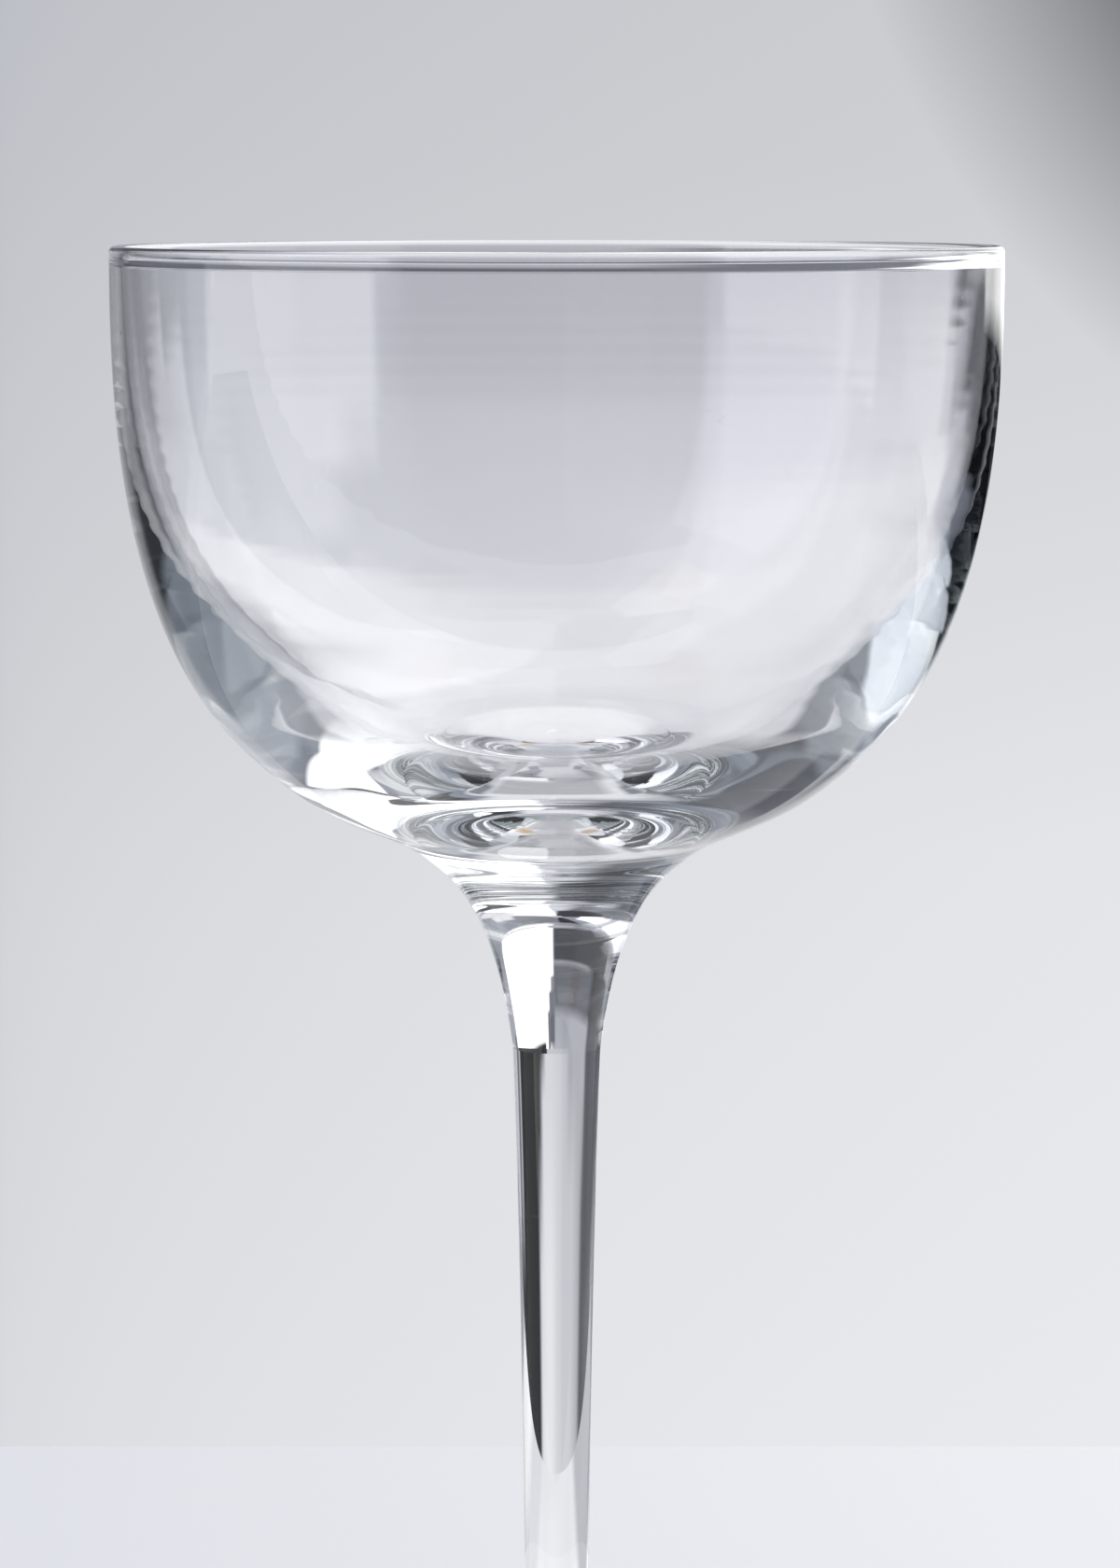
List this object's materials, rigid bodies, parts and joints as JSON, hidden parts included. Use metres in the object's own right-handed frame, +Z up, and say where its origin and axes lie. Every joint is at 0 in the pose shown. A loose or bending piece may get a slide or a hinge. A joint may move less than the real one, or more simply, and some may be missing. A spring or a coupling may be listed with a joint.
{
  "type": "nick and nora glass",
  "caption": "Clear stemmed cocktail glass with a wide round bowl, a heavy base, a slim drawn stem and a flat round foot.",
  "frame": {"origin": "centre of the foot, on the surface that the glass stands on", "axes": "+Z up along the glass's axis, from the foot to the rim; the glass is round, so X and Y are free"},
  "size_m": [0.082, 0.082, 0.155],
  "materials": {
    "clear_glass": "fire-polished, clear and smooth"
  },
  "bodies": {
    "root": {"bowl": "clear_glass", "neck": "clear_glass", "stem": "clear_glass", "foot": "clear_glass"}
  },
  "joints": []
}
